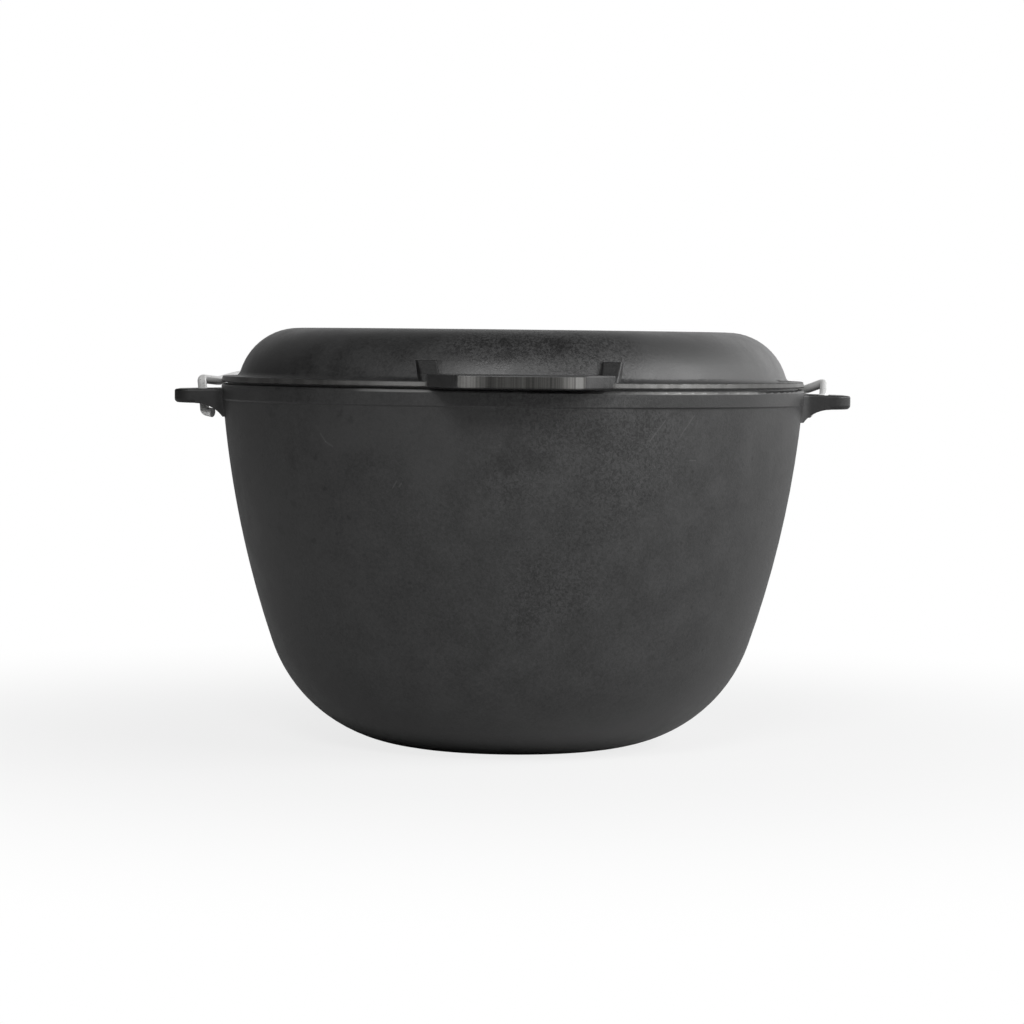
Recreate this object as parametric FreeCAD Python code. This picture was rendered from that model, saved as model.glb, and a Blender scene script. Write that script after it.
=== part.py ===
import FreeCAD, Part
import math
import os

os.makedirs("parts", exist_ok=True)

# A cast iron cauldron of about eight litres with a flat base, two cast ears, a wire bail
# and a lid that turns over to serve as a shallow pan. Sizes in mm, +Z up, origin at the
# centre of the base, X through the two ears, the near side towards -Y.

# Pot
pot_height = 177.3          # floor to the ground top of the rim
rim_diameter = 290.0
rim_width = 5.5             # ground sealing face at the top of the wall
rim_round = 1.2             # outer edge of the rim
mouth_round = 1.0           # inner edge of the rim
band_height = 8.0           # thicker band round the mouth
band_step = 0.8             # how far the band stands out from the wall
pot_wall = 4.5
pot_bottom = 6.0
base_diameter = 119.8       # flat face that the pot stands on
heel_angle = 9.1            # rise of the bottom where it leaves the floor, degrees
knuckle_radius = 75.0       # bend between bottom and wall
wall_angle = 18.9           # lean of the wall above the knuckle, degrees

# Ears, each a flat plate carried by two cheeks that run down the wall
ear_projection = 22.7       # rim to the tip
ear_width = 38.0
ear_thickness = 7.6         # at the wall
ear_drop = 2.3              # rim top to ear top
ear_taper = 0.5             # both faces close in by this much at the tip
ear_corner = 8.0            # corners of the tip, seen from above
ear_flare = 7.0             # hollow corner where the ear meets the wall
ear_top_round = 1.0
ear_under_round = 2.0
cheek_thickness = 4.5
cheek_depth = 6.3           # below the underside of the ear, at the wall
cheek_margin = 10.7         # tip of the ear to where the cheeks start
slot_margin = 15.3          # tip of the ear to the middle of the slot
slot_width = 13.4
slot_play = 0.8             # room for the leaning wire at each end of the slot
slot_corner = 3.0
slot_round = 0.8

# Lid, which is a shallow pan turned over
lid_rise = 28.0             # rim top to the top of the lid
lid_wall = 4.0
flange_width = 8.4          # flat ring outside the dome
flange_thickness = 4.0      # sealing face to the top of the flange
flange_relief = 1.2         # the flange's outer part stands off the rim by this
seal_inset = 3.0            # flange edge to the sealing face
flange_draft = 0.5          # the edge leans in this much towards its top
flange_top_round = 0.6
flange_under_round = 0.5
dome_draft = 20.0           # lean of the dome wall, degrees
dome_fillet = 3.0
shoulder_radius = 30.0
lip_depth = 2.0             # locating lip that drops into the mouth
lip_clearance = 1.0

# Tabs of the lid, one near and one far
tab_projection = 23.5       # flange to the ground edge
tab_thickness = 6.1
tab_front_width = 59.6
tab_root_width = 84.6
tab_corner = 3.0
tab_fillet = 3.0            # hollow corner where the tab leaves the flange
tab_round = 0.8

# Lugs at both ends of each tab, against the dome
lug_height = 13.4           # above the flange's sealing face
lug_inner_foot = 36.2       # middle of the tab to the lug's inner side, at its foot
lug_inner_top = 38.2
lug_outer_foot = 44.4       # the same to its outer side, at its foot in front
lug_outer_top = 47.2
lug_outer_back = 48.8
lug_crest_inset = 16.6      # flange edge at the middle of the tab to the lug's crest
lug_toe_inset = 9.0         # the same, to the lug's toe
lug_round = 1.0

# Wire bail
wire_diameter = 4.5
bail_gap = 2.0              # between the wire and the flange, folded back
bail_rest_gap = 0.55        # between the wire and the far tab
rise_left = 5.3             # height of the arc's plane over the pivot, at the left ear
rise_right = 3.6
leg_lean = 50.0             # lean of the legs through the slots, folded back, degrees
arch_bend = 3.4
turn_bend = 3.4
shoulder_bend = 14.0
arc_end_angle = 10.5        # where the arc gives way to the run out to the ear, degrees

# Hooks of the bail, bent by hand and not quite alike. Reaches run outwards from the middle
# of the slot, heights upwards from the pivot.
left_arch_reach = 3.5       # the wire's turn over the ear
left_arch_height = 8.2
left_turn_reach = 0.5       # its turn inwards, in or below the slot
left_turn_height = -7.6
left_end_reach = -3.6
left_end_height = -8.4
left_end_forward = 1.4      # how far the end leaves the plane of the leg
right_arch_reach = 5.0
right_arch_height = 9.6
right_turn_reach = 3.8
right_turn_height = 3.0
right_end_reach = -5.4
right_end_height = -6.0
right_end_forward = 0.0

# Sizes that follow from those above
rim_radius = rim_diameter / 2
mouth_radius = rim_radius - rim_width
band_bottom = pot_height - band_height
ear_reach = rim_radius + ear_projection
slot_center = ear_reach - slot_margin
cheek_reach = ear_reach - cheek_margin
ear_back = mouth_radius - 2 * rim_width
tab_reach = rim_radius + tab_projection
lug_crest = rim_radius - lug_crest_inset
lug_toe = rim_radius - lug_toe_inset
ear_top = pot_height - ear_drop
ear_under = ear_top - ear_thickness
pivot_height = ear_top - ear_thickness / 2
wire_radius = wire_diameter / 2
lean = math.radians(leg_lean)
slot_length = 2 * (wire_radius / math.cos(lean) + ear_thickness / 2 * math.tan(lean) + slot_play)
tab_foot = pot_height + flange_relief
tab_top = tab_foot + tab_thickness

UP = FreeCAD.Vector(0, 0, 1)
ORIGIN = FreeCAD.Vector(0, 0, 0)


def profile_point(radius, height):
    return FreeCAD.Vector(radius, 0, height)


def line(start, end):
    return Part.LineSegment(start, end).toShape()


def arc(start, middle, end):
    return Part.Arc(start, middle, end).toShape()


def arc_about(center, radius, first_angle, last_angle):
    """An arc in the XZ plane about a centre, angles in radians from +X towards +Z."""
    points = []
    for share in (0.0, 0.5, 1.0):
        angle = first_angle + share * (last_angle - first_angle)
        offset = FreeCAD.Vector(radius * math.cos(angle), 0, radius * math.sin(angle))
        points.append(center + offset)
    return arc(*points)


def turned(edges):
    """The solid of revolution about Z whose half section the edges enclose."""
    face = Part.Face(Part.Wire(edges))
    return face.revolve(ORIGIN, UP, 360)


def prism(edges, height):
    """The edges, in a plane of constant Z, closed and raised by a height."""
    return Part.Face(Part.Wire(edges)).extrude(UP * height)


def side_slab(edges, half_width):
    """The edges, in the XZ plane, closed and spread to both sides by a half width."""
    face = Part.Face(Part.Wire(edges))
    face.translate(FreeCAD.Vector(0, -half_width, 0))
    return face.extrude(FreeCAD.Vector(0, 2 * half_width, 0))


def block(low, high):
    """A box between two corners."""
    size = high - low
    return Part.makeBox(size.x, size.y, size.z, low)


def flat_edges(solid, upward, inner=False):
    """Edges round the flat face that looks up (1) or down (-1): its outline, or its hole."""
    for face in solid.Faces:
        if isinstance(face.Surface, Part.Plane) and face.normalAt(0, 0).z * upward > 0.9:
            wires = face.Wires[1:] if inner else [face.OuterWire]
            return [edge for wire in wires for edge in wire.Edges]
    return []


def mirrored(solid, axis):
    """The same form on the other side of the plane through the origin square to an axis."""
    return solid.mirror(ORIGIN, axis)


# Pot wall: the knuckle's arc, then one arc that leaves it tangent and ends under the band. The
# second arc's radius is negative where the wall has to bend outwards.
heel = math.radians(heel_angle)
wall_lean = math.radians(wall_angle)
base_radius = base_diameter / 2
knuckle_center = profile_point(
    base_radius - knuckle_radius * math.sin(heel),
    knuckle_radius * math.cos(heel),
)
wall_inward = FreeCAD.Vector(-math.cos(wall_lean), 0, math.sin(wall_lean))
wall_foot = knuckle_center - wall_inward * knuckle_radius
wall_head = profile_point(rim_radius - band_step, band_bottom)
wall_chord = wall_head - wall_foot
wall_radius = wall_chord.dot(wall_chord) / (2 * wall_chord.dot(wall_inward))
wall_center = wall_foot + wall_inward * wall_radius


def wall_point(share, depth):
    """A point of the wall's arc, some way up it and some depth inside the outer skin."""
    foot_outward = (wall_foot - wall_center) / wall_radius
    head_outward = (wall_head - wall_center) / wall_radius
    first = math.atan2(foot_outward.z, foot_outward.x)
    last = math.atan2(head_outward.z, head_outward.x)
    angle = first + share * (last - first)
    reach = wall_radius - depth
    return wall_center + FreeCAD.Vector(reach * math.cos(angle), 0, reach * math.sin(angle))


def pot_outside():
    """Everything inside the pot's outer skin, with the band and its rounded edge."""
    band_foot = profile_point(rim_radius, band_bottom + band_step)
    band_head = profile_point(rim_radius, pot_height - rim_round)
    rim_edge_center = profile_point(rim_radius - rim_round, pot_height - rim_round)
    rim_edge = profile_point(rim_radius - rim_round, pot_height)
    axis_top = profile_point(0, pot_height)
    base_edge = profile_point(base_radius, 0)
    edges = [
        line(profile_point(0, 0), base_edge),
        arc_about(knuckle_center, knuckle_radius, heel - math.pi / 2, -wall_lean),
        arc(wall_foot, wall_point(0.5, 0), wall_head),
        line(wall_head, band_foot),
        line(band_foot, band_head),
        arc_about(rim_edge_center, rim_round, 0, math.pi / 2),
        line(rim_edge, axis_top),
        line(axis_top, profile_point(0, 0)),
    ]
    return turned(edges)


def pot_inside():
    """The space that the pot holds, up to the top of the rim."""
    inner_knuckle = knuckle_radius - pot_wall
    floor_fall = knuckle_center.z - pot_bottom
    floor_radius = knuckle_center.x + math.sqrt(inner_knuckle ** 2 - floor_fall ** 2)
    floor_angle = -math.asin(floor_fall / inner_knuckle)
    inner_foot = wall_point(0, pot_wall)
    inner_head = wall_point(1, pot_wall)
    mouth_edge = profile_point(mouth_radius, pot_height - mouth_round)
    mouth_top = profile_point(mouth_radius + mouth_round, pot_height)
    edge_center = profile_point(mouth_radius + mouth_round, pot_height - mouth_round)
    axis_top = profile_point(0, pot_height)
    axis_floor = profile_point(0, pot_bottom)
    edges = [
        line(axis_floor, profile_point(floor_radius, pot_bottom)),
        arc_about(knuckle_center, inner_knuckle, floor_angle, -wall_lean),
        arc(inner_foot, wall_point(0.5, pot_wall), inner_head),
        line(inner_head, mouth_edge),
        arc_about(edge_center, mouth_round, math.pi, math.pi / 2),
        line(mouth_top, axis_top),
        line(axis_top, axis_floor),
    ]
    return turned(edges)


def flared_plan(half_width, flare, reach, height, corner=0.0):
    """Outline of a lug on the wall, seen from above, with hollow corners at its root.

    It runs from inside the mouth out to its reach along X.
    """
    root_half = half_width + flare
    skin_radius = rim_radius - band_step
    root = math.sqrt(skin_radius ** 2 - root_half ** 2) - band_step
    bow = flare * math.sqrt(0.5)
    tip_bow = corner * (1 - math.sqrt(0.5))
    edges = []
    for side in (-1, 1):
        flare_center = FreeCAD.Vector(root + flare, side * root_half, height)
        flare_root = flare_center + FreeCAD.Vector(-flare, 0, 0)
        flare_middle = flare_center + FreeCAD.Vector(-bow, -side * bow, 0)
        flare_end = flare_center + FreeCAD.Vector(0, -side * flare, 0)
        side_end = FreeCAD.Vector(reach - corner, side * half_width, height)
        back_corner = FreeCAD.Vector(ear_back, side * root_half, height)
        pieces = [
            line(back_corner, flare_root),
            arc(flare_root, flare_middle, flare_end),
            line(flare_end, side_end),
        ]
        if corner > 0:
            tip_middle = FreeCAD.Vector(reach - tip_bow, side * (half_width - tip_bow), height)
            tip_end = FreeCAD.Vector(reach, side * (half_width - corner), height)
            pieces.append(arc(side_end, tip_middle, tip_end))
        edges += pieces
    tip_half = half_width - corner
    near_tip = FreeCAD.Vector(reach, -tip_half, height)
    far_tip = FreeCAD.Vector(reach, tip_half, height)
    near_back = FreeCAD.Vector(ear_back, -root_half, height)
    far_back = FreeCAD.Vector(ear_back, root_half, height)
    edges.append(line(near_tip, far_tip))
    edges.append(line(near_back, far_back))
    return Part.__sortEdges__(edges)


def slot_prism():
    """The slot through the ear, long way across it."""
    low = FreeCAD.Vector(slot_center - slot_width / 2, -slot_length / 2, ear_under - cheek_depth)
    high = FreeCAD.Vector(slot_center + slot_width / 2, slot_length / 2, pot_height)
    slot = block(low, high)
    uprights = [edge for edge in slot.Edges if edge.BoundBox.ZLength > ear_thickness]
    return slot.makeFillet(slot_corner, uprights)


def ear():
    """One flat ear with rounded edges and its slot, on the +X side."""
    lowest = ear_under - ear_taper
    outline = flared_plan(ear_width / 2, ear_flare, ear_reach, lowest, ear_corner)
    back_spread = ear_taper * (rim_radius - ear_back) / ear_projection
    corners = [
        profile_point(ear_back, ear_top + back_spread),
        profile_point(ear_reach, ear_top - ear_taper),
        profile_point(ear_reach, ear_under + ear_taper),
        profile_point(ear_back, ear_under - back_spread),
    ]
    taper = side_slab(Part.makePolygon(corners + corners[:1]).Edges, ear_width)
    plate = prism(outline, ear_thickness + 2 * ear_taper).common(taper)
    plate = plate.makeFillet(ear_top_round, flat_edges(plate, 1))
    plate = plate.makeFillet(ear_under_round, flat_edges(plate, -1))
    plate = plate.cut(slot_prism())
    rims = flat_edges(plate, 1, inner=True) + flat_edges(plate, -1, inner=True)
    return plate.makeFillet(slot_round, rims)


def cheeks():
    """The two cheeks under an ear, flush with its sides, on the +X side."""
    foot = profile_point(rim_radius - 2 * band_step, ear_under - cheek_depth)
    head_height = ear_under + ear_taper * (cheek_reach - rim_radius) / ear_projection
    head = profile_point(cheek_reach, head_height)
    run = head.x - foot.x
    drop = head.z - foot.z
    radius = (run ** 2 + drop ** 2) / (2 * drop)
    sweep = math.asin(run / radius)
    back_foot = profile_point(ear_back, foot.z)
    back_head = profile_point(ear_back, pivot_height)
    front_head = profile_point(cheek_reach, pivot_height)
    side = [
        arc_about(head - UP * radius, radius, math.pi / 2, math.pi / 2 + sweep),
        line(foot, back_foot),
        line(back_foot, back_head),
        line(back_head, front_head),
        line(front_head, head),
    ]
    outline = flared_plan(ear_width / 2, ear_flare, cheek_reach, foot.z)
    pair = prism(outline, pivot_height - foot.z).common(side_slab(side, ear_width))
    inner_half = ear_width / 2 - cheek_thickness
    low = FreeCAD.Vector(ear_back - 1, -inner_half, foot.z - 1)
    high = FreeCAD.Vector(ear_reach, inner_half, pot_height)
    return pair.cut(block(low, high)).Solids


def make_pot():
    right_ear = ear().fuse(cheeks())
    left_ear = mirrored(right_ear, FreeCAD.Vector(1, 0, 0))
    body = pot_outside().fuse([right_ear, left_ear])
    return body.cut(pot_inside()).removeSplitter().Solids[0]


# Lid section: the dome's wall, its shoulder and the fillet down to the flange
draft = math.radians(dome_draft)
dome_radius = rim_radius - flange_width
wall_out = FreeCAD.Vector(math.cos(draft), 0, math.sin(draft))
flange_top = pot_height + flange_thickness
lid_top = pot_height + lid_rise
shoulder_head = lid_top - shoulder_radius
shoulder_foot = shoulder_head + shoulder_radius * math.sin(draft)


def dome_radius_at(height, depth=0.0):
    """Radius of the dome's wall at a height, some depth inside its skin."""
    return dome_radius - (height - flange_top) * math.tan(draft) - depth / math.cos(draft)


shoulder_center = profile_point(
    dome_radius_at(shoulder_foot) - shoulder_radius * math.cos(draft),
    shoulder_head,
)


def lid_outside():
    """Everything inside the lid's outer skin, with its flange and locating lip."""
    fillet_center = profile_point(
        dome_radius_at(flange_top + dome_fillet, -dome_fillet),
        flange_top + dome_fillet,
    )
    fillet_head = fillet_center - wall_out * dome_fillet
    fillet_foot = profile_point(fillet_center.x, flange_top)
    edge_top_radius = rim_radius - flange_draft
    top_center = profile_point(edge_top_radius - flange_top_round, flange_top - flange_top_round)
    under_center = profile_point(rim_radius - flange_under_round, tab_foot + flange_under_round)
    edge_top = profile_point(edge_top_radius, flange_top - flange_top_round)
    edge_foot = profile_point(rim_radius, tab_foot + flange_under_round)
    seal_radius = rim_radius - seal_inset
    lip_radius = mouth_radius - lip_clearance
    lip_foot = pot_height - lip_depth
    shoulder_point = shoulder_center + wall_out * shoulder_radius
    axis_top = profile_point(0, lid_top)
    axis_foot = profile_point(0, lip_foot)
    edges = [
        line(axis_top, profile_point(shoulder_center.x, lid_top)),
        arc_about(shoulder_center, shoulder_radius, math.pi / 2, draft),
        line(shoulder_point, fillet_head),
        arc_about(fillet_center, dome_fillet, math.pi + draft, 3 * math.pi / 2),
        line(fillet_foot, profile_point(top_center.x, flange_top)),
        arc_about(top_center, flange_top_round, math.pi / 2, 0),
        line(edge_top, edge_foot),
        arc_about(under_center, flange_under_round, 0, -math.pi / 2),
        line(profile_point(under_center.x, tab_foot), profile_point(seal_radius, tab_foot)),
        line(profile_point(seal_radius, tab_foot), profile_point(seal_radius, pot_height)),
        line(profile_point(seal_radius, pot_height), profile_point(lip_radius, pot_height)),
        line(profile_point(lip_radius, pot_height), profile_point(lip_radius, lip_foot)),
        line(profile_point(lip_radius, lip_foot), axis_foot),
        line(axis_foot, axis_top),
    ]
    return turned(edges)


def lid_inside():
    """The hollow of the pan, open downwards."""
    lip_foot = pot_height - lip_depth
    ceiling = lid_top - lid_wall
    inner_radius = shoulder_radius - lid_wall
    shoulder_point = shoulder_center + wall_out * inner_radius
    foot = profile_point(dome_radius_at(lip_foot, lid_wall), lip_foot)
    axis_top = profile_point(0, ceiling)
    axis_foot = profile_point(0, lip_foot)
    edges = [
        line(axis_top, profile_point(shoulder_center.x, ceiling)),
        arc_about(shoulder_center, inner_radius, math.pi / 2, draft),
        line(shoulder_point, foot),
        line(foot, axis_foot),
        line(axis_foot, axis_top),
    ]
    return turned(edges)


def tab_side(side):
    """Points of one side of the near tab, from its ground edge back to the flange.

    The last three are the hollow corner, a circle that touches both the side and the flange.
    """
    front_half = tab_front_width / 2
    root_half = tab_root_width / 2
    front = FreeCAD.Vector(side * front_half, -math.sqrt(tab_reach ** 2 - front_half ** 2), 0)
    root = FreeCAD.Vector(side * root_half, -math.sqrt(rim_radius ** 2 - root_half ** 2), 0)
    along = root - front
    along.normalize()
    outward = FreeCAD.Vector(side * along.y, -side * along.x, 0)
    start = front + outward * tab_fillet
    reach = rim_radius + tab_fillet
    slope = start.dot(along)
    travel = -slope - math.sqrt(slope ** 2 - start.dot(start) + reach ** 2)
    if travel < 0:
        travel = -slope + math.sqrt(slope ** 2 - start.dot(start) + reach ** 2)
    center = start + along * travel
    leave = center - outward * tab_fillet
    land = center * (rim_radius / reach)
    middle_arm = (leave - center) + (land - center)
    middle_arm.normalize()
    return front, leave, center + middle_arm * tab_fillet, land


def tab():
    """The near tab: concentric ground edge, tapering sides, rounded edges."""
    back = -(dome_radius - 2 * flange_width)
    lift = UP * tab_foot
    left = [point + lift for point in tab_side(-1)]
    right = [point + lift for point in tab_side(1)]
    left_back = FreeCAD.Vector(left[3].x, back, tab_foot)
    right_back = FreeCAD.Vector(right[3].x, back, tab_foot)
    edges = [
        arc(left[0], FreeCAD.Vector(0, -tab_reach, tab_foot), right[0]),
        line(right[0], right[1]),
        arc(right[1], right[2], right[3]),
        line(right[3], right_back),
        line(right_back, left_back),
        line(left_back, left[3]),
        arc(left[3], left[2], left[1]),
        line(left[1], left[0]),
    ]
    plate = prism(edges, tab_thickness)
    corners = []
    for edge in plate.Edges:
        upright = edge.BoundBox.ZLength > tab_thickness / 2
        if upright and edge.BoundBox.YMax < -(tab_reach + rim_radius) / 2:
            corners.append(edge)
    plate = plate.makeFillet(tab_corner, corners)
    rims = flat_edges(plate, 1) + flat_edges(plate, -1)
    outer = back - tab_fillet
    rims = [edge for edge in rims if edge.BoundBox.YMin < outer and edge.BoundBox.XLength > tab_round]
    return plate.makeFillet(tab_round, rims)


def lug():
    """The wedge that braces the +X end of the near tab against the dome."""
    foot = (tab_foot + flange_top) / 2
    crest = pot_height + lug_height
    back = -(dome_radius - 2 * flange_width)
    toe_run = (lug_toe - lug_crest) / (crest - flange_top)
    toe = lug_toe + toe_run * (flange_top - foot)
    rings = []
    for height, inner, outer, front in (
        (foot, lug_inner_foot, lug_outer_foot, toe),
        (crest, lug_inner_top, lug_outer_top, lug_crest),
    ):
        corners = [
            FreeCAD.Vector(inner, back, height),
            FreeCAD.Vector(lug_outer_back, back, height),
            FreeCAD.Vector(outer, -front, height),
            FreeCAD.Vector(inner, -front, height),
        ]
        rings.append(Part.makePolygon(corners + corners[:1]))
    wedge = Part.makeLoft(rings, True, True)
    front_edges = []
    for edge in wedge.Edges:
        box = edge.BoundBox
        leaning = box.ZLength > lug_height / 2 and box.YMin < -lug_crest - 1
        top_front = box.ZMin > crest - 1e-3 and box.YMax < -lug_crest + 1e-3
        if leaning or top_front:
            front_edges.append(edge)
    return wedge.makeFillet(lug_round, front_edges)


def make_lid():
    right_lug = lug()
    left_lug = mirrored(right_lug, FreeCAD.Vector(1, 0, 0))
    near_side = tab().fuse([right_lug, left_lug])
    far_side = mirrored(near_side, FreeCAD.Vector(0, 1, 0))
    body = lid_outside().fuse([near_side, far_side])
    return body.cut(lid_inside()).removeSplitter().Solids[0]


# Bail at rest, folded back: its arc lies in a plane that rises to clear the far tab
bail_radius = rim_radius + bail_gap + wire_radius
tab_crossing = math.sqrt(bail_radius ** 2 - (tab_root_width / 2) ** 2)
rest_height = tab_top + bail_rest_gap + wire_radius - pivot_height
start_rise = (rise_left + rise_right) / 2
bail_slope = math.atan((rest_height - start_rise) / tab_crossing)
bail_tilt = math.atan((rise_left - rise_right) / (2 * bail_radius))
arc_origin = FreeCAD.Vector(0, 0, pivot_height + start_rise)
arc_side = FreeCAD.Vector(math.cos(bail_tilt), 0, -math.sin(bail_tilt))
uphill = FreeCAD.Vector(0, math.cos(bail_slope), math.sin(bail_slope))
arc_back = uphill - arc_side * uphill.dot(arc_side)
arc_back.normalize()

# Corners of the wire at each ear: the turn over it, the turn inwards and the end
hooks = {
    -1: (
        (left_arch_reach, left_arch_height),
        (left_turn_reach, left_turn_height),
        (left_end_reach, left_end_height),
    ),
    1: (
        (right_arch_reach, right_arch_height),
        (right_turn_reach, right_turn_height),
        (right_end_reach, right_end_height),
    ),
}
end_forward = {-1: left_end_forward, 1: right_end_forward}


def arc_point(angle):
    """A point of the bail's arc, angle in degrees from the +X ear towards the back."""
    turn = math.radians(angle)
    sideways = arc_side * (bail_radius * math.cos(turn))
    return arc_origin + sideways + arc_back * (bail_radius * math.sin(turn))


def hook_points(side):
    """The hook's corners, in the plane of the leaning leg but for the end."""
    points = []
    for reach, height in hooks[side]:
        across = side * (slot_center + reach)
        points.append(FreeCAD.Vector(across, height * math.tan(lean), pivot_height + height))
    points[-1].y -= end_forward[side]
    return points


def bent_run(points, radii):
    """Straight runs through the points, with a tangent arc of the given radius at each turn."""
    edges = []
    start = points[0]
    for index in range(1, len(points) - 1):
        corner = points[index]
        arriving = corner - points[index - 1]
        leaving = points[index + 1] - corner
        turn = arriving.getAngle(leaving)
        arriving.normalize()
        leaving.normalize()
        radius = radii[index - 1]
        trim = radius * math.tan(turn / 2)
        first = corner - arriving * trim
        last = corner + leaving * trim
        inward = leaving - arriving
        inward.normalize()
        middle = corner + inward * (radius / math.cos(turn / 2) - radius)
        edges.append(line(start, first))
        edges.append(arc(first, middle, last))
        start = last
    edges.append(line(start, points[-1]))
    return edges


def half_path(side):
    """The wire from the arc's end out to the ear, through the slot and under it."""
    angle = arc_end_angle if side > 0 else 180 - arc_end_angle
    start = arc_point(angle)
    tangent = start - arc_point(angle + side)
    tangent.normalize()
    corners = hook_points(side)
    run = (corners[0] - start).dot(tangent)
    knee = start + tangent * (run / 3)
    return bent_run([start, knee] + corners, [shoulder_bend, arch_bend, turn_bend])


def make_bail():
    over_the_pot = arc(arc_point(arc_end_angle), arc_point(90), arc_point(180 - arc_end_angle))
    path = Part.Wire(Part.__sortEdges__(half_path(-1) + [over_the_pot] + half_path(1)))
    turn, tip = hook_points(-1)[1:]
    section = Part.Wire(Part.makeCircle(wire_radius, tip, tip - turn))
    bail = path.makePipeShell([section], True, True)
    print("bail volume over section times length", bail.Volume / (math.pi * wire_radius ** 2 * path.Length))
    return bail


pieces = {"pot": make_pot(), "lid": make_lid(), "bail": make_bail()}
for name, solid in pieces.items():
    solid.exportStep("parts/" + name + ".step")
    print(name, solid.ShapeType, len(solid.Solids), solid.isValid(), round(solid.Volume))
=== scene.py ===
import math

import bpy
from mathutils import Matrix, Vector

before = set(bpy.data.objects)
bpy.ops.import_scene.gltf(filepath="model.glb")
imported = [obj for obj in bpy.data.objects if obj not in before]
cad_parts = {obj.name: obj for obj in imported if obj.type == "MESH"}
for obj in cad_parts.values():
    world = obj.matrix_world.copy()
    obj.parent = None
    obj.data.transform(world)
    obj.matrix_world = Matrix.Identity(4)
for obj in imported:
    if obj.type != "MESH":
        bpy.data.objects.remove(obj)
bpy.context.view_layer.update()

# Pot
# One sand casting in grey iron, ears and all, with its rim ground flat. It was oiled and
# baked black, so the grain of the sand shows through a thin satin coat.
pot_dark = (0.010, 0.010, 0.0101, 1)
pot_light = (0.038, 0.038, 0.0382, 1)

# Skin of both castings: its sizes in metres, and how far each mark shows
grain_size = 0.0014
blotch_size = 0.016
pit_spacing = 0.007
rub_reach = 0.0014
rub_grip = 0.2
grain_gain = 0.66
coarse_grain_gain = 0.86
blotch_gain = 0.34
tone_base = 0.33
pit_share = 0.5
pit_color = (0.004, 0.004, 0.004, 1)
rubbed_share = 0.30
rubbed_color = (0.085, 0.085, 0.087, 1)
fleck_share = 0.05
coarse_fleck_share = 0.14
fleck_color = (0.13, 0.13, 0.13, 1)
coat_roughness = 0.37
roughness_gain = 0.08
relief_strength = 0.16
relief_depth = 0.0003

# Coarse skin at the front of the mouth, and a smoother stretch to its left, painted paler as a
# pool of painted light
pot_coarse_center = (0.024, -0.139, 0.158)
pot_coarse_radius = 0.078
pot_painted_light_center = (-0.055, -0.131, 0.161)
pot_painted_light_radius = 0.056
pot_painted_light_share = 0.5

# Darker ears, and painted shade on the band of the mouth at the right
pot_black_and_shade = (0.003, 0.003, 0.003, 1)
pot_darkening_share = 0.75
pot_ear_from = 0.1430
pot_ear_fade = 0.004
pot_band_shade_center = (0.105, -0.085, 0.180)
pot_band_shade_radius = 0.095
pot_band_low = 0.1680
pot_band_fade = 0.0015
pot_band_shade_share = 0.9

# Edge of the rim, worn bright where the lid is dragged off and painted brighter where it catches
# the light: part wear, part painted highlight, as (center, radius, share)
pot_rim_from = 0.1757
pot_rim_fade = 0.0006
pot_rim_reach = 0.1453
pot_rim_metal = (0.50, 0.50, 0.49, 1)
pot_rim_wear_and_highlight = [
    ((0.0800, -0.1210, 0.1770), 0.062, 0.45),
    ((-0.0560, -0.1340, 0.1770), 0.024, 0.22),
]

# Light scratches, as (start, end, width)
scratch_color = (0.12, 0.12, 0.12, 1)
scratch_share = 0.2
pot_scratches = [
    ((0.0601, -0.1294, 0.1544), (0.0675, -0.1268, 0.1641), 0.00045),
    ((0.0754, -0.1215, 0.1576), (0.0815, -0.1186, 0.1664), 0.00045),
    ((0.0556, -0.1308, 0.1500), (0.0566, -0.1305, 0.1512), 0.00060),
    ((0.0796, -0.1170, 0.1455), (0.0826, -0.1150, 0.1453), 0.00050),
    ((-0.0919, -0.1094, 0.1559), (-0.0895, -0.1108, 0.1523), 0.00060),
    ((-0.0895, -0.1108, 0.1523), (-0.0861, -0.1131, 0.1501), 0.00060),
    ((-0.0578, -0.1271, 0.1318), (-0.0561, -0.1283, 0.1348), 0.00050),
    ((-0.0550, -0.1284, 0.1322), (-0.0538, -0.1291, 0.1340), 0.00050),
]

# Pits and dull spots, as (center, radius, share)
pot_spots = [
    ((0.0813, -0.1150, 0.1403), 0.0012, 0.7),
    ((-0.0942, -0.1054, 0.1446), 0.0020, 0.6),
    ((-0.0899, -0.1064, 0.1302), 0.0018, 0.6),
    ((-0.0784, -0.1122, 0.1171), 0.0014, 0.6),
    ((-0.1056, -0.0888, 0.1226), 0.0030, 0.35),
    ((-0.1085, -0.0863, 0.1267), 0.0022, 0.35),
    ((-0.1174, -0.0680, 0.1109), 0.0030, 0.3),
    ((-0.1117, -0.0764, 0.1095), 0.0036, 0.3),
    ((-0.0953, -0.0949, 0.1051), 0.0026, 0.35),
    ((-0.1155, -0.0855, 0.1640), 0.0030, 0.3),
    ((-0.0824, -0.1179, 0.1655), 0.0024, 0.35),
    ((-0.0777, -0.1207, 0.1624), 0.0024, 0.3),
    ((-0.1055, -0.0938, 0.1426), 0.0040, 0.3),
    ((0.0005, -0.1420, 0.1487), 0.0150, 0.3),
    ((-0.0077, -0.1412, 0.1445), 0.0080, 0.25),
]


def join(tree, socket, value):
    """Links a socket to another, or sets its plain value."""
    if isinstance(value, bpy.types.NodeSocket):
        tree.links.new(value, socket)
    else:
        socket.default_value = value


def place(tree, kind, **inputs):
    """A new node with its inputs set or linked by name."""
    node = tree.nodes.new(kind)
    for name, value in inputs.items():
        join(tree, node.inputs[name.replace("_", " ")], value)
    return node


def reckon(tree, operation, *values):
    """One step of arithmetic on plain values or sockets."""
    node = tree.nodes.new("ShaderNodeMath")
    node.operation = operation
    for socket, value in zip(node.inputs, values):
        join(tree, socket, value)
    return node.outputs[0]


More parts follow.
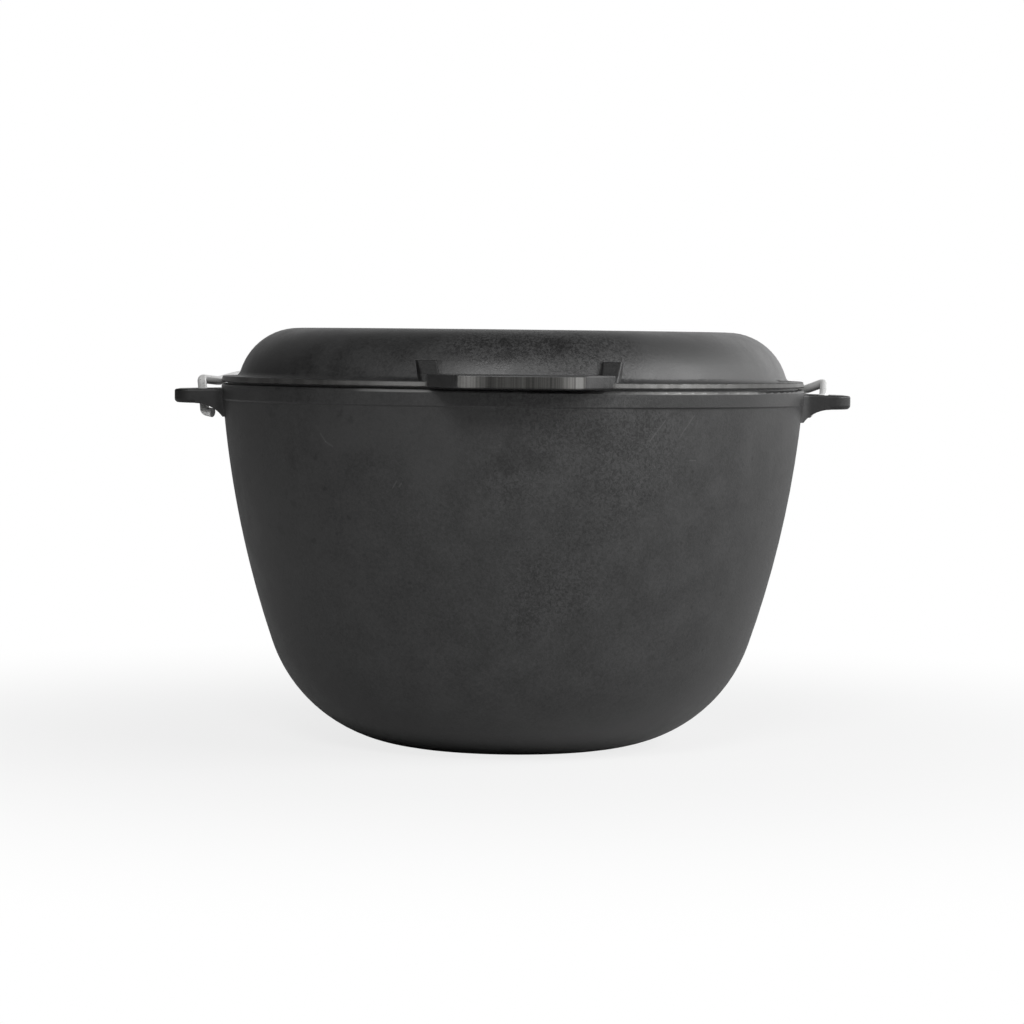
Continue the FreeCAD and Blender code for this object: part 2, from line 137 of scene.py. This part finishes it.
def reckon_vector(tree, operation, first, second):
    """The outputs of one step of arithmetic on two vectors."""
    node = tree.nodes.new("ShaderNodeVectorMath")
    node.operation = operation
    join(tree, node.inputs[0], first)
    join(tree, node.inputs[1], second)
    return node.outputs


def scale_vector(tree, vector, factor):
    """A vector times a number."""
    node = tree.nodes.new("ShaderNodeVectorMath")
    node.operation = "SCALE"
    join(tree, node.inputs[0], vector)
    join(tree, node.inputs["Scale"], factor)
    return node.outputs["Vector"]


def spread(tree, value, low, high):
    """How far a value has gone from low to high, eased, from 0 to 1."""
    node = tree.nodes.new("ShaderNodeMapRange")
    node.interpolation_type = "SMOOTHSTEP"
    join(tree, node.inputs["Value"], value)
    join(tree, node.inputs["From Min"], low)
    join(tree, node.inputs["From Max"], high)
    return node.outputs["Result"]


def blend_color(tree, share, first, second):
    """The first colour giving way to the second by a share."""
    node = tree.nodes.new("ShaderNodeMix")
    node.data_type = "RGBA"
    colors = [socket for socket in node.inputs if socket.type == "RGBA"]
    join(tree, node.inputs["Factor"], share)
    join(tree, colors[0], first)
    join(tree, colors[1], second)
    return [socket for socket in node.outputs if socket.type == "RGBA"][0]


def cover(tree, coat, where, share, color):
    """A coat partly hidden under a colour, where a mask says."""
    return blend_color(tree, reckon(tree, "MULTIPLY", where, share), coat, color)


def split_place(tree, space="Object"):
    """The place on a piece as its X, Y and Z."""
    where = tree.nodes.new("ShaderNodeTexCoord").outputs[space]
    return place(tree, "ShaderNodeSeparateXYZ", Vector=where).outputs


def axis_reach(tree, where):
    """The distance from the upright axis of the pot."""
    flat = place(tree, "ShaderNodeCombineXYZ", X=where["X"], Y=where["Y"]).outputs[0]
    return reckon_vector(tree, "DISTANCE", flat, (0, 0, 0))["Value"]


def new_effect(name, inputs, outputs):
    """An empty node group with named inputs and outputs."""
    tree = bpy.data.node_groups.new(name, "ShaderNodeTree")
    for title, kind, value in inputs:
        socket = tree.interface.new_socket(title, in_out="INPUT", socket_type=kind)
        socket.default_value = value
    for title in outputs:
        tree.interface.new_socket(title, in_out="OUTPUT", socket_type="NodeSocketFloat")
    given = tree.nodes.new("NodeGroupInput").outputs
    made = tree.nodes.new("NodeGroupOutput").inputs
    return tree, given, made


def use_effect(tree, effect, **inputs):
    """The outputs of an effect placed in a material with its own values."""
    node = tree.nodes.new("ShaderNodeGroup")
    node.node_tree = effect
    for name, value in inputs.items():
        join(tree, node.inputs[name.replace("_", " ")], value)
    return node.outputs


def make_sand_skin():
    """The skin of a sand casting: fine grain, wide blotches, small pits and pale flecks."""
    tree, given, made = new_effect(
        "sand cast skin",
        [
            ("Grain Size", "NodeSocketFloat", 0.001),
            ("Blotch Size", "NodeSocketFloat", 0.02),
            ("Pit Spacing", "NodeSocketFloat", 0.006),
        ],
        ["Grain", "Blotch", "Pits", "Flecks"],
    )
    where = tree.nodes.new("ShaderNodeTexCoord").outputs["Object"]
    grain = place(
        tree,
        "ShaderNodeTexNoise",
        Vector=where,
        Scale=reckon(tree, "DIVIDE", 1.0, given["Grain Size"]),
        Detail=3.0,
        Roughness=0.6,
        Distortion=0.9,
    )
    join(tree, made["Grain"], spread(tree, grain.outputs["Fac"], 0.2, 0.8))

    blotch = place(
        tree,
        "ShaderNodeTexNoise",
        Vector=where,
        Scale=reckon(tree, "DIVIDE", 1.0, given["Blotch Size"]),
        Detail=5.0,
        Roughness=0.62,
    )
    join(tree, made["Blotch"], spread(tree, blotch.outputs["Fac"], 0.3, 0.7))

    pit_scale = reckon(tree, "DIVIDE", 1.0, given["Pit Spacing"])
    cells = place(tree, "ShaderNodeTexVoronoi", Vector=where, Scale=pit_scale, Randomness=1.0)
    lot = place(tree, "ShaderNodeSeparateColor", Color=cells.outputs["Color"]).outputs[0]
    pit_width = reckon(tree, "MULTIPLY_ADD", lot, 0.5, -0.25)
    hollow = spread(tree, cells.outputs["Distance"], pit_width, 0.02)
    pitted = reckon(tree, "GREATER_THAN", lot, 0.64)
    join(tree, made["Pits"], reckon(tree, "MULTIPLY", hollow, pitted))

    fleck_scale = reckon(tree, "DIVIDE", 0.7, given["Grain Size"])
    crumbs = place(tree, "ShaderNodeTexVoronoi", Vector=where, Scale=fleck_scale, Randomness=1.0)
    lot = place(tree, "ShaderNodeSeparateColor", Color=crumbs.outputs["Color"]).outputs[1]
    crumb_width = reckon(tree, "MULTIPLY", lot, 0.34)
    crumb = spread(tree, crumbs.outputs["Distance"], crumb_width, 0.0)
    flecked = reckon(tree, "GREATER_THAN", lot, 0.5)
    join(tree, made["Flecks"], reckon(tree, "MULTIPLY", crumb, flecked))
    return tree


def make_edge_rub():
    """Where an edge has been rubbed: the shading normal leaves the rounded one."""
    tree, given, made = new_effect(
        "edge rub",
        [("Reach", "NodeSocketFloat", 0.0015), ("Grip", "NodeSocketFloat", 0.25)],
        ["Rubbed"],
    )
    rounded = place(tree, "ShaderNodeBevel", Radius=given["Reach"]).outputs["Normal"]
    plain = tree.nodes.new("ShaderNodeNewGeometry").outputs["Normal"]
    alike = reckon_vector(tree, "DOT_PRODUCT", rounded, plain)["Value"]
    turned = reckon(tree, "SUBTRACT", 1.0, alike)
    join(tree, made["Rubbed"], spread(tree, turned, 0.01, given["Grip"]))
    return tree


def make_patch():
    """A region about a point, with a soft and uneven border."""
    tree, given, made = new_effect(
        "patch",
        [("Center", "NodeSocketVector", (0, 0, 0)), ("Radius", "NodeSocketFloat", 0.05)],
        ["Share"],
    )
    where = tree.nodes.new("ShaderNodeTexCoord").outputs["Object"]
    ripple_scale = reckon(tree, "DIVIDE", 1.6, given["Radius"])
    ripple = place(tree, "ShaderNodeTexNoise", Vector=where, Scale=ripple_scale, Detail=0.0)
    push = reckon_vector(tree, "SUBTRACT", ripple.outputs["Color"], (0.5, 0.5, 0.5))["Vector"]
    push = scale_vector(tree, push, reckon(tree, "MULTIPLY", given["Radius"], 1.5))
    moved = reckon_vector(tree, "ADD", where, push)["Vector"]
    apart = reckon_vector(tree, "DISTANCE", moved, given["Center"])["Value"]
    core = reckon(tree, "MULTIPLY", given["Radius"], 0.35)
    outside = spread(tree, apart, core, given["Radius"])
    join(tree, made["Share"], reckon(tree, "SUBTRACT", 1.0, outside))
    return tree


def make_stroke():
    """A thin line scored between two points of a surface."""
    tree, given, made = new_effect(
        "stroke",
        [
            ("Start", "NodeSocketVector", (0, 0, 0)),
            ("End", "NodeSocketVector", (0, 0, 0.01)),
            ("Width", "NodeSocketFloat", 0.0005),
        ],
        ["Share"],
    )
    where = tree.nodes.new("ShaderNodeTexCoord").outputs["Object"]
    run = reckon_vector(tree, "SUBTRACT", given["End"], given["Start"])["Vector"]
    gone = reckon_vector(tree, "SUBTRACT", where, given["Start"])["Vector"]
    along = reckon(
        tree,
        "DIVIDE",
        reckon_vector(tree, "DOT_PRODUCT", gone, run)["Value"],
        reckon_vector(tree, "DOT_PRODUCT", run, run)["Value"],
    )
    kept = place(tree, "ShaderNodeClamp", Value=along).outputs["Result"]
    nearest = scale_vector(tree, run, kept)
    apart = reckon_vector(tree, "DISTANCE", gone, nearest)["Value"]
    middle = reckon(tree, "MULTIPLY", given["Width"], 0.3)
    outside = spread(tree, apart, middle, given["Width"])
    join(tree, made["Share"], reckon(tree, "SUBTRACT", 1.0, outside))
    return tree


sand_skin = make_sand_skin()
edge_rub = make_edge_rub()
patch = make_patch()
stroke = make_stroke()


def near(tree, center, radius):
    """The share of a patch about a point."""
    return use_effect(tree, patch, Center=center, Radius=radius)["Share"]


def start_material(name):
    """An empty material with its node tree and its Principled BSDF."""
    material = bpy.data.materials.new(name)
    material.use_nodes = True
    shader = material.node_tree.nodes["Principled BSDF"]
    return material, material.node_tree, shader


def cast_iron(name, dark, light, coarse_center, coarse_radius, coarse_strength):
    """Oiled black cast iron, whose grain stands out more in one coarse patch."""
    material, tree, shader = start_material(name)
    skin = use_effect(
        tree, sand_skin, Grain_Size=grain_size, Blotch_Size=blotch_size, Pit_Spacing=pit_spacing
    )
    rubbed = use_effect(tree, edge_rub, Reach=rub_reach, Grip=rub_grip)["Rubbed"]
    coarse = reckon(tree, "MULTIPLY", near(tree, coarse_center, coarse_radius), coarse_strength)
    grain = reckon(tree, "SUBTRACT", skin["Grain"], 0.5)
    gain = reckon(tree, "MULTIPLY_ADD", coarse, coarse_grain_gain, grain_gain)
    grain = reckon(tree, "MULTIPLY", grain, gain)
    tone = reckon(tree, "MULTIPLY_ADD", skin["Blotch"], blotch_gain, tone_base)
    tone = reckon(tree, "ADD", tone, grain)
    coat = blend_color(tree, tone, dark, light)
    coat = cover(tree, coat, skin["Pits"], pit_share, pit_color)
    coat = cover(tree, coat, rubbed, rubbed_share, rubbed_color)
    flecked = reckon(tree, "MULTIPLY_ADD", coarse, coarse_fleck_share, fleck_share)
    coat = cover(tree, coat, skin["Flecks"], flecked, fleck_color)

    rough = reckon(tree, "MULTIPLY_ADD", skin["Grain"], roughness_gain, coat_roughness)
    rough = reckon(tree, "MULTIPLY_ADD", skin["Blotch"], roughness_gain, rough)
    join(tree, shader.inputs["Roughness"], rough)
    shader.inputs["Specular IOR Level"].default_value = 0.5
    height = reckon(tree, "SUBTRACT", grain, skin["Pits"])
    bump = place(
        tree, "ShaderNodeBump", Strength=relief_strength, Distance=relief_depth, Height=height
    )
    join(tree, shader.inputs["Normal"], bump.outputs["Normal"])
    return material, tree, shader, coat


def lay_bare(tree, shader, share, coat, metal):
    """Bare iron showing through the coat by a share."""
    join(tree, shader.inputs["Base Color"], blend_color(tree, share, coat, metal))
    join(tree, shader.inputs["Metallic"], reckon(tree, "MULTIPLY", share, 0.6))


def dress(node, material):
    """The same material in every slot of a piece."""
    for slot in node.material_slots:
        slot.material = material


pot_iron, pot_tree, pot_shader, pot_coat = cast_iron(
    "pot iron", pot_dark, pot_light, pot_coarse_center, pot_coarse_radius, 1.0
)
# A paler stretch left of the tab: painted light.
pale = near(pot_tree, pot_painted_light_center, pot_painted_light_radius)
pot_coat = cover(pot_tree, pot_coat, pale, pot_painted_light_share, pot_light)
for start, end, width in pot_scratches:
    scored = use_effect(pot_tree, stroke, Start=start, End=end, Width=width)["Share"]
    pot_coat = cover(pot_tree, pot_coat, scored, scratch_share, scratch_color)
for center, radius, share in pot_spots:
    pot_coat = cover(pot_tree, pot_coat, near(pot_tree, center, radius), share, pot_black_and_shade)

pot_place = split_place(pot_tree)
# The ears are darkened, and the band at the right gets painted shade.
ear_side = reckon(pot_tree, "ABSOLUTE", pot_place["X"])
ear_darkening = spread(pot_tree, ear_side, pot_ear_from, pot_ear_from + pot_ear_fade)
band_height = spread(pot_tree, pot_place["Z"], pot_band_low, pot_band_low + pot_band_fade)
band_near = near(pot_tree, pot_band_shade_center, pot_band_shade_radius)
band_shade = reckon(pot_tree, "MULTIPLY", band_near, band_height)
band_shade = reckon(pot_tree, "MULTIPLY", band_shade, pot_band_shade_share)
dark_ears_and_band_shade = reckon(pot_tree, "MAXIMUM", ear_darkening, band_shade)
pot_coat = cover(pot_tree, pot_coat, dark_ears_and_band_shade, pot_darkening_share, pot_black_and_shade)

rim_height = spread(pot_tree, pot_place["Z"], pot_rim_from, pot_rim_from + pot_rim_fade)
rim_inside = reckon(pot_tree, "LESS_THAN", axis_reach(pot_tree, pot_place), pot_rim_reach)
rim_edge = reckon(pot_tree, "MULTIPLY", rim_height, rim_inside)
rim_worn_and_lit = 0.0
# Bright bare patches on the rim's edge: part wear, part painted highlight.
for center, radius, share in pot_rim_wear_and_highlight:
    worn = reckon(pot_tree, "MULTIPLY", near(pot_tree, center, radius), share)
    rim_worn_and_lit = reckon(pot_tree, "MAXIMUM", rim_worn_and_lit, worn)
rim_bare_and_highlight = reckon(pot_tree, "MULTIPLY", rim_edge, rim_worn_and_lit)
lay_bare(pot_tree, pot_shader, rim_bare_and_highlight, pot_coat, pot_rim_metal)
dress(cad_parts["pot"], pot_iron)

# Lid
# A shallow pan turned over, cast like the pot. The outer edges of its two tabs and of its
# flange are ground bare, and the flange lies on the rim.
lid_dark = (0.009, 0.009, 0.0091, 1)
lid_light = (0.036, 0.036, 0.0362, 1)
lid_coarse_center = (0.015, -0.128, 0.193)
lid_coarse_radius = 0.055
lid_coarse_strength = 1.6
# A paler patch on the right of the lid: a painted highlight.
lid_painted_light = (0.052, 0.052, 0.0522, 1)
lid_painted_light_center = (0.076, -0.104, 0.191)
lid_painted_light_radius = 0.070
lid_painted_light_share = 0.6

# Dark spots, as (center, radius, share): the three wider ones at the front are painted shade
# where the lid's middle reflects little light, and the two small ones are where the coat has
# burnt
lid_burnt_and_shade = (0.003, 0.003, 0.003, 1)
lid_spots_and_shade = [
    ((-0.0053, -0.1289, 0.1955), 0.0100, 0.55),
    ((0.0196, -0.1262, 0.1967), 0.0090, 0.50),
    ((-0.0163, -0.1262, 0.1972), 0.0060, 0.35),
    ((0.0260, -0.1147, 0.2032), 0.0020, 0.50),
    ((-0.0226, -0.1130, 0.2041), 0.0020, 0.50),
]

# Lugs at the ends of the tabs, darkened: painted shade on their sloping fronts
lug_from = 0.0355
lug_to = 0.0492
lug_back = 0.1262
lug_low = 0.1844
lug_high = 0.1909
lug_painted_shade = (0.004, 0.004, 0.004, 1)
lug_shade_share = 0.75

# Ground edge of the tabs, with painted glints: brighter towards its ends and brightest on one
# facet
grinding_pitch = 0.0009
tab_ground_from = 0.1660
tab_ground_low = 0.1786
tab_ground_high = 0.1839
tab_end_from = 0.015
tab_end_to = 0.023
tab_end_glint = 0.42
tab_marks_gain = 0.13
tab_end_marks_gain = 0.22
tab_glint_from = 0.0242
tab_glint_to = 0.0276
tab_glint_share = 0.6
tab_dark = (0.022, 0.0215, 0.020, 1)
tab_bright = (0.19, 0.188, 0.181, 1)
tab_glint_metal = (0.32, 0.32, 0.31, 1)

# Ground edge of the flange, brighter left of the tab and darker at the far right
flange_edge_from = 0.1442
flange_edge_to = 0.1452
flange_edge_low = 0.1785
flange_edge_high = 0.1810
flange_brightest_center = (-0.060, -0.132, 0.180)
flange_brightest_radius = 0.034
flange_darkened_from = 0.055
flange_darkened_to = 0.115
flange_darkened_share = 0.6
flange_dark = (0.070, 0.069, 0.067, 1)
flange_bright = (0.095, 0.094, 0.092, 1)
flange_brightest = (0.15, 0.149, 0.146, 1)
flange_darkened = (0.030, 0.030, 0.029, 1)


def make_grinding():
    """Marks of a grinding wheel across an edge, by the distance along that edge."""
    tree, given, made = new_effect(
        "grinding",
        [("Along", "NodeSocketFloat", 0.0), ("Pitch", "NodeSocketFloat", 0.001)],
        ["Lines", "Facets"],
    )
    for title, coarseness, offset in (("Lines", 1.0, 0.0), ("Facets", 0.16, 7.3)):
        noise = tree.nodes.new("ShaderNodeTexNoise")
        noise.noise_dimensions = "1D"
        join(tree, noise.inputs["W"], reckon(tree, "ADD", given["Along"], offset))
        join(tree, noise.inputs["Scale"], reckon(tree, "DIVIDE", coarseness, given["Pitch"]))
        join(tree, noise.inputs["Detail"], 1.0)
        join(tree, made[title], spread(tree, noise.outputs[0], 0.35, 0.65))
    return tree


def between(tree, value, low, high):
    """1 where a value lies between two others, 0 elsewhere."""
    above = reckon(tree, "GREATER_THAN", value, low)
    below = reckon(tree, "LESS_THAN", value, high)
    return reckon(tree, "MULTIPLY", above, below)


grinding = make_grinding()
lid_iron, lid_tree, lid_shader, lid_coat = cast_iron(
    "lid iron", lid_dark, lid_light, lid_coarse_center, lid_coarse_radius, lid_coarse_strength
)
# Painted highlight on the right of the lid.
pale = near(lid_tree, lid_painted_light_center, lid_painted_light_radius)
lid_coat = cover(lid_tree, lid_coat, pale, lid_painted_light_share, lid_painted_light)
# Painted shade at the front of the lid, and small burnt spots.
for center, radius, share in lid_spots_and_shade:
    lid_coat = cover(lid_tree, lid_coat, near(lid_tree, center, radius), share, lid_burnt_and_shade)

lid_place = split_place(lid_tree)
lid_across = reckon(lid_tree, "ABSOLUTE", lid_place["X"])
lid_side = reckon(lid_tree, "ABSOLUTE", lid_place["Y"])
# Painted shade on the lugs.
lug_outside = reckon(lid_tree, "GREATER_THAN", lid_side, lug_back)
lug_level = between(lid_tree, lid_place["Z"], lug_low, lug_high)
lug_here = reckon(lid_tree, "MULTIPLY", lug_outside, lug_level)
lug_here = reckon(lid_tree, "MULTIPLY", between(lid_tree, lid_across, lug_from, lug_to), lug_here)
lid_coat = cover(lid_tree, lid_coat, lug_here, lug_shade_share, lug_painted_shade)

marks = use_effect(lid_tree, grinding, Along=lid_place["X"], Pitch=grinding_pitch)
tab_outside = reckon(lid_tree, "GREATER_THAN", lid_side, tab_ground_from)
tab_level = between(lid_tree, lid_place["Z"], tab_ground_low, tab_ground_high)
tab_bare = reckon(lid_tree, "MULTIPLY", tab_outside, tab_level)
# Painted glints: the ground edge is brighter towards both ends of the tab and brightest on one
# facet.
tab_end = spread(lid_tree, lid_across, tab_end_from, tab_end_to)
tab_marks = reckon(lid_tree, "ADD", marks["Facets"], marks["Lines"])
tab_depth = reckon(lid_tree, "MULTIPLY_ADD", tab_end, tab_end_marks_gain, tab_marks_gain)
tab_marks = reckon(lid_tree, "MULTIPLY", tab_marks, tab_depth)
tab_tone = reckon(lid_tree, "MULTIPLY_ADD", tab_end, tab_end_glint, tab_marks)
tab_metal = blend_color(lid_tree, tab_tone, tab_dark, tab_bright)
tab_facet_glint = between(lid_tree, lid_place["X"], tab_glint_from, tab_glint_to)
tab_metal = cover(lid_tree, tab_metal, tab_facet_glint, tab_glint_share, tab_glint_metal)

flange_ring = between(
    lid_tree, axis_reach(lid_tree, lid_place), flange_edge_from, flange_edge_to
)
flange_level = between(lid_tree, lid_place["Z"], flange_edge_low, flange_edge_high)
flange_bare = reckon(lid_tree, "MULTIPLY", flange_ring, flange_level)
# The flange's ground edge is brighter left of the tab and darker at the far right.
flange_near = near(lid_tree, flange_brightest_center, flange_brightest_radius)
flange_far = spread(lid_tree, lid_place["X"], flange_darkened_from, flange_darkened_to)
flange_metal = blend_color(lid_tree, marks["Facets"], flange_dark, flange_bright)
flange_metal = blend_color(lid_tree, flange_near, flange_metal, flange_brightest)
flange_metal = cover(lid_tree, flange_metal, flange_far, flange_darkened_share, flange_darkened)

lid_bare = reckon(lid_tree, "MAXIMUM", tab_bare, flange_bare)
lid_metal = blend_color(lid_tree, tab_bare, flange_metal, tab_metal)
lay_bare(lid_tree, lid_shader, lid_bare, lid_coat, lid_metal)
dress(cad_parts["lid"], lid_iron)

# Bail
# Round steel wire, bent cold, with a bright plated finish. Its hooked ends pass through the
# slots of the ears.
bail_dull = (0.72, 0.72, 0.71, 1)
bail_bright = (0.90, 0.90, 0.89, 1)
bail_roughness = 0.20
bail_streak_gain = 0.2
bail_streak_scale = 420.0
bail_cloud_scale = 60.0
bail_metal_share = 0.4

bail_steel, bail_tree, bail_shader = start_material("bail steel")
drawn = bail_tree.nodes.new("ShaderNodeTexCoord").outputs["Object"]
streaks = place(
    bail_tree,
    "ShaderNodeTexNoise",
    Vector=drawn,
    Scale=bail_streak_scale,
    Detail=3.0,
    Roughness=0.6,
).outputs["Fac"]
cloud = place(bail_tree, "ShaderNodeTexNoise", Vector=drawn, Scale=bail_cloud_scale, Detail=2.0)
bail_tone = spread(bail_tree, cloud.outputs["Fac"], 0.3, 0.7)
bail_color = blend_color(bail_tree, bail_tone, bail_dull, bail_bright)
join(bail_tree, bail_shader.inputs["Base Color"], bail_color)
bail_rough = reckon(bail_tree, "MULTIPLY_ADD", streaks, bail_streak_gain, bail_roughness)
join(bail_tree, bail_shader.inputs["Roughness"], bail_rough)
bail_bump = place(
    bail_tree, "ShaderNodeBump", Strength=0.08, Distance=0.0001, Height=streaks
)
join(bail_tree, bail_shader.inputs["Normal"], bail_bump.outputs["Normal"])
bail_shader.inputs["Metallic"].default_value = bail_metal_share
dress(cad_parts["bail"], bail_steel)

# Floor and backdrop
# A wide pale floor that keeps the shadow of the pot, in a studio that is dim on the left and
# overhead and bright on the right. The camera itself sees plain white.
floor_radius = 6.0
floor_corners = 96
floor_color = (0.55, 0.55, 0.55, 1)
shadow_share = 0.2
shadow_from = 0.15
shadow_to = 0.55
wall_left = (0.04, 0.04, 0.04, 1)
wall_right = (1.75, 1.75, 1.75, 1)
wall_front = (0.06, 0.06, 0.06, 1)
wall_front_share = 0.6
ceiling_color = (0.10, 0.10, 0.10, 1)
white = (1, 1, 1, 1)

floor_mesh = bpy.data.meshes.new("floor")
corners = []
for step in range(floor_corners):
    turn = 2 * math.pi * step / floor_corners
    corners.append((floor_radius * math.cos(turn), floor_radius * math.sin(turn), 0))
floor_mesh.from_pydata(corners, [], [tuple(range(floor_corners))])
floor = bpy.data.objects.new("floor", floor_mesh)
bpy.context.scene.collection.objects.link(floor)
floor_white, floor_tree, floor_shader = start_material("floor white")
floor_shader.inputs["Base Color"].default_value = floor_color
floor_shader.inputs["Roughness"].default_value = 0.9
floor_shader.inputs["Specular IOR Level"].default_value = 0.0
floor_glow = place(floor_tree, "ShaderNodeEmission", Color=white, Strength=1.0)
floor_seen = floor_tree.nodes.new("ShaderNodeLightPath").outputs["Is Camera Ray"]
floor_where = floor_tree.nodes.new("ShaderNodeTexCoord").outputs["Object"]
floor_reach = reckon_vector(floor_tree, "DISTANCE", floor_where, (0, 0, 0))["Value"]
clear = spread(floor_tree, floor_reach, shadow_from, shadow_to)
glow_share = reckon(floor_tree, "MULTIPLY_ADD", clear, shadow_share, 1 - shadow_share)
floor_mix = floor_tree.nodes.new("ShaderNodeMixShader")
join(floor_tree, floor_mix.inputs[0], reckon(floor_tree, "MULTIPLY", floor_seen, glow_share))
join(floor_tree, floor_mix.inputs[1], floor_shader.outputs[0])
join(floor_tree, floor_mix.inputs[2], floor_glow.outputs[0])
join(floor_tree, floor_tree.nodes["Material Output"].inputs["Surface"], floor_mix.outputs[0])
floor_mesh.materials.append(floor_white)

world = bpy.data.worlds.new("studio")
bpy.context.scene.world = world
world.use_nodes = True
world_tree = world.node_tree
sky = world_tree.nodes["Background"]
sky_way = split_place(world_tree, "Generated")
sky_side = spread(world_tree, sky_way["X"], -0.85, 0.85)
sky_front = spread(world_tree, sky_way["Y"], 0.2, -0.9)
sky_height = spread(world_tree, sky_way["Z"], 0.3, 0.8)
studio = blend_color(world_tree, sky_side, wall_left, wall_right)
studio = cover(world_tree, studio, sky_front, wall_front_share, wall_front)
studio = blend_color(world_tree, sky_height, studio, ceiling_color)
sky_seen = world_tree.nodes.new("ShaderNodeLightPath").outputs["Is Camera Ray"]
join(world_tree, sky.inputs["Color"], blend_color(world_tree, sky_seen, studio, white))

# Lamps
# A large soft box on the right, one above the camera and a weak one on the left, all aimed
# at the middle of the pot.
lamp_aim = Vector((0, 0, 0.12))


def soft_box(name, place_at, width, height, power):
    """A soft box aimed at the pot, with its power in watts."""
    lamp = bpy.data.lights.new(name, "AREA")
    lamp.shape = "RECTANGLE"
    lamp.size = width
    lamp.size_y = height
    lamp.energy = power
    holder = bpy.data.objects.new(name, lamp)
    holder.location = place_at
    holder.rotation_euler = (lamp_aim - Vector(place_at)).to_track_quat("-Z", "Y").to_euler()
    bpy.context.scene.collection.objects.link(holder)


soft_box("right box", (1.38, -0.60, 0.95), 1.4, 0.9, 22.0)
soft_box("front box", (-0.22, -1.45, 1.25), 0.6, 0.5, 16.0)
soft_box("left box", (-1.15, -1.0, 1.1), 0.6, 0.6, 1.8)

# Camera
# A long lens a little above the rim and a touch left of the tab, tipped down and rolled as
# the photograph was.
camera_distance = 1.6
camera_height = 0.1993
camera_azimuth = math.radians(1.35)
camera_pan = math.radians(-0.009)
camera_pitch = math.radians(3.0355)
camera_roll = 0.0113
camera_lens = 112.5

camera_data = bpy.data.cameras.new("camera")
camera_data.lens = camera_lens
camera_data.sensor_width = 36.0
camera = bpy.data.objects.new("camera", camera_data)
stand = Matrix.Translation((
    -camera_distance * math.sin(camera_azimuth),
    -camera_distance * math.cos(camera_azimuth),
    camera_height,
))
turned = Matrix.Rotation(camera_pan - camera_azimuth, 4, "Z")
tipped = Matrix.Rotation(math.pi / 2 - camera_pitch, 4, "X")
rolled = Matrix.Rotation(camera_roll, 4, "Z")
camera.matrix_world = stand @ turned @ tipped @ rolled
bpy.context.scene.collection.objects.link(camera)
bpy.context.scene.camera = camera
bpy.context.scene.view_settings.view_transform = "Standard"
